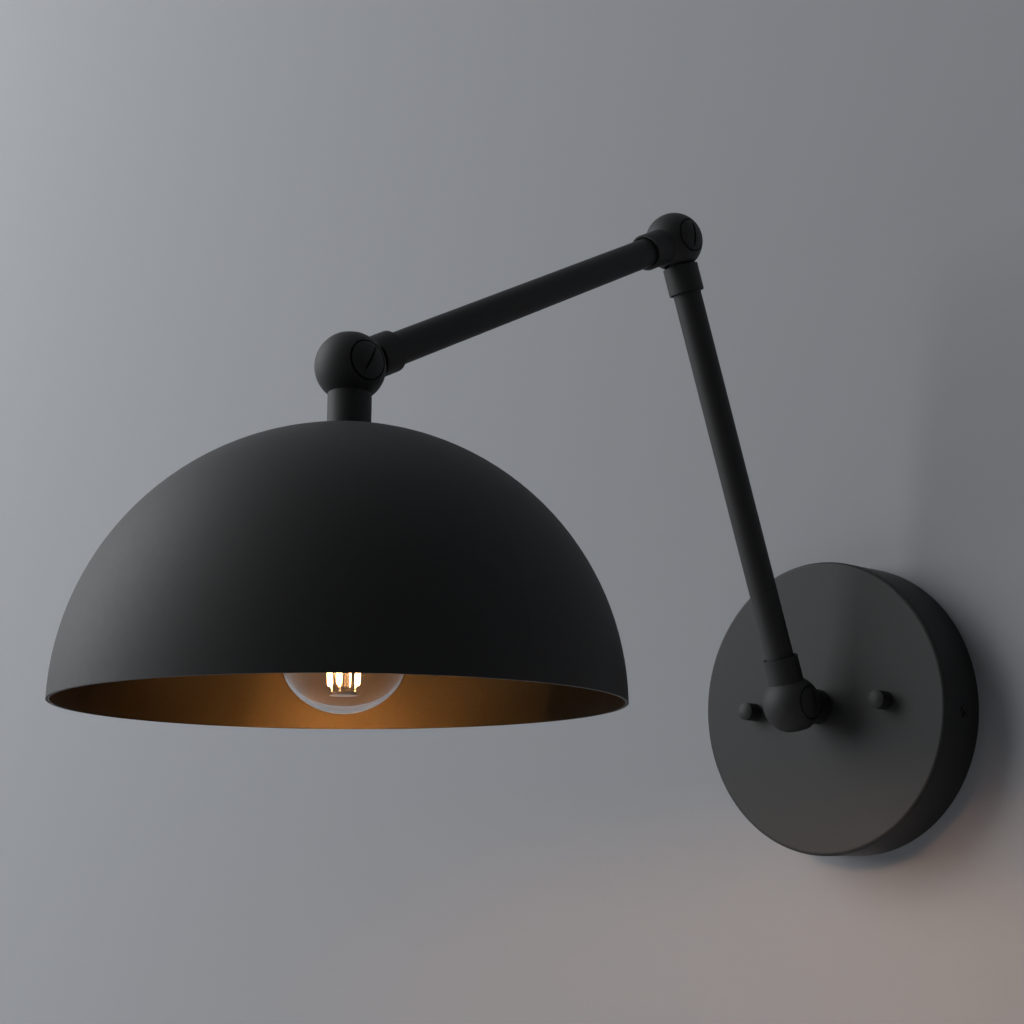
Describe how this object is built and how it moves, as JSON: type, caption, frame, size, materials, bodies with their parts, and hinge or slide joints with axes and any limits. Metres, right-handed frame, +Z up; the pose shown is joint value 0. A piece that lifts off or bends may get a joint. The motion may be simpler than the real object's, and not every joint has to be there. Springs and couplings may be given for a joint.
{
  "type": "two-arm wall lamp",
  "caption": "Matte black wall lamp: round wall plate, two tube arms with friction ball knuckles, hemispherical shade with a pale gold inside and a clear globe bulb.",
  "frame": {"origin": "centre of the wall side of the mounting bar, on the wall", "axes": "+Z up, +Y into the wall, so the room is on the -Y side, +X to the right for someone who faces the wall"},
  "size_m": [0.185, 0.3681, 0.2686],
  "materials": {
    "black_coat": "matte powder coat",
    "zinc_steel": "zinc plated",
    "spring_steel": "blued spring steel",
    "friction_fibre": "friction fibre",
    "earth_green": "green dyed screw",
    "lead_sleeve": "silicone insulated lead",
    "holder_plastic": "moulded black",
    "contact_brass": "plain",
    "clear_glass": "clear",
    "base_aluminium": "satin",
    "base_glass_black": "black vitrite",
    "cage_metal": "bright",
    "filament_glow": "lit filament"
  },
  "bodies": {
    "wall_base": {"backplate": "black_coat", "rim_bush": "black_coat", "rim_screw": "zinc_steel", "crossbar": "zinc_steel", "mounting_studs": "zinc_steel", "stud_lock_nuts": "zinc_steel", "cap_nuts": "black_coat", "stem_washer": "zinc_steel", "stem_nut": "zinc_steel", "stem_collar": "black_coat", "earth_screw": "earth_green", "wall_rotor": "black_coat", "canopy_leads": "lead_sleeve"},
    "lower_arm": {"wall_knuckle": "black_coat", "wall_knuckle_thrust_washer": "friction_fibre", "wall_knuckle_spring_washer": "spring_steel", "wall_knuckle_cap": "black_coat", "lower_tube": "black_coat", "lower_tube_nipple": "zinc_steel", "lower_leads": "lead_sleeve", "elbow_rotor": "black_coat", "elbow_collar": "black_coat"},
    "upper_arm": {"elbow_knuckle": "black_coat", "elbow_knuckle_thrust_washer": "friction_fibre", "elbow_knuckle_spring_washer": "spring_steel", "elbow_knuckle_cap": "black_coat", "upper_tube": "black_coat", "upper_tube_nipple": "zinc_steel", "upper_leads": "lead_sleeve", "shade_rotor": "black_coat", "shade_collar": "black_coat"},
    "shade": {"shade_knuckle": "black_coat", "shade_knuckle_thrust_washer": "friction_fibre", "shade_knuckle_spring_washer": "spring_steel", "shade_knuckle_cap": "black_coat", "shade_dome": "black_coat", "dome_washer": "zinc_steel", "dome_nut": "zinc_steel", "shade_nipple": "zinc_steel", "holder_cap": "holder_plastic", "holder_sleeve": "holder_plastic", "holder_screw_shell": "contact_brass", "holder_contact": "contact_brass", "holder_leads": "lead_sleeve", "bulb_glass": "clear_glass", "bulb_base_shell": "base_aluminium", "bulb_base_insulator": "base_glass_black", "bulb_contact": "contact_brass", "bulb_stem": "clear_glass", "bulb_cage_hub": "cage_metal", "bulb_support_wires": "cage_metal", "bulb_filaments": "filament_glow"}
  },
  "joints": [
    {"name": "wall_pivot", "type": "hinge", "parent": "wall_base", "child": "lower_arm", "pos_m": [0, -0.0426, 0], "axis": [1, 0, 0], "range_deg": [-19, 71]},
    {"name": "elbow_pivot", "type": "hinge", "parent": "lower_arm", "child": "upper_arm", "pos_m": [0, -0.10902, 0.19289], "axis": [-1, 0, 0], "range_deg": [-10, 100]},
    {"name": "shade_pivot", "type": "hinge", "parent": "upper_arm", "child": "shade", "pos_m": [0, -0.27563, 0.10053], "axis": [-1, 0, 0], "range_deg": [-49, 61]}
  ]
}
